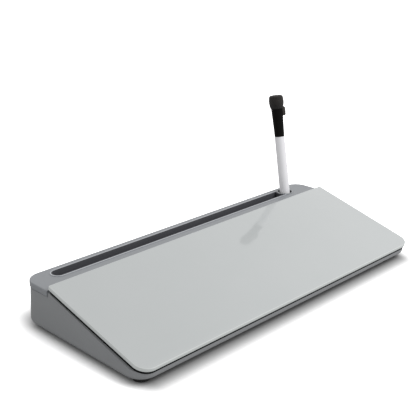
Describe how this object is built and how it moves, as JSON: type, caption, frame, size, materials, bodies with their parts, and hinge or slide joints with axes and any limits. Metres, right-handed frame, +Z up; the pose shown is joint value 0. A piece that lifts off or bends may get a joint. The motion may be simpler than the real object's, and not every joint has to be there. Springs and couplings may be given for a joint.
{
  "type": "magnetic desk whiteboard easel",
  "caption": "Sloped magnetic glass whiteboard on a hollow wedge base, with a leaning slot for tablets behind it and a capped dry-erase marker standing in a cup.",
  "frame": {"origin": "middle of the whole object's box, on the desk", "axes": "+Z up, +X to the right along the board's width, +Y to the rear, from the board's low front edge towards the rail"},
  "size_m": [0.4112, 0.1846, 0.1675],
  "materials": {
    "shell_grey": "satin, fine mould texture",
    "rail_grey": "satin, fine mould texture",
    "cup_black": "matt",
    "cup_grey": "satin",
    "cover_grey": "satin, fine mould texture",
    "well_black": "matt",
    "pad_black": "matt, soft",
    "board_glass": "polished, painted pale grey on its back",
    "sheet_steel": "bare",
    "tape_black": "matt foam",
    "foot_rubber": "matt",
    "screw_steel": "zinc plated",
    "barrel_white": "gloss",
    "wick_white": "fibre",
    "nib_felt": "firm felt, black with ink",
    "cap_black": "gloss",
    "seal_white": "soft",
    "holder_black": "satin",
    "magnet_nickel": "nickel plated",
    "eraser_felt": "dense felt"
  },
  "bodies": {
    "base": {"base_housing": "shell_grey", "rail_cap": "rail_grey", "device_well": "well_black", "well_grip_pad": "pad_black", "marker_cup": "cup_black", "cup_ring": "cup_grey", "glass_board": "board_glass", "steel_backing_sheet": "sheet_steel", "foam_tape_frame": "tape_black", "bottom_cover": "cover_grey", "foot_front_left": "foot_rubber", "foot_front_right": "foot_rubber", "foot_rear_left": "foot_rubber", "foot_rear_right": "foot_rubber", "cover_screws": "screw_steel", "rail_screws": "screw_steel"},
    "marker": {"marker_barrel": "barrel_white", "marker_end_plug": "barrel_white", "ink_reservoir": "wick_white", "nib_holder": "barrel_white", "marker_nib": "nib_felt"},
    "cap": {"marker_cap": "cap_black", "cap_inner_seal": "seal_white", "magnet_holder": "holder_black", "cap_magnet": "magnet_nickel", "eraser_felt": "eraser_felt"}
  },
  "joints": [
    {"name": "marker_lift", "type": "slide", "parent": "base", "child": "marker", "axis": [0, 0.1599, 0.9871], "range_m": [0, 0.06]},
    {"name": "cap_pull", "type": "slide", "parent": "marker", "child": "cap", "axis": [0, 0.1599, 0.9871], "range_m": [0, 0.04]}
  ]
}
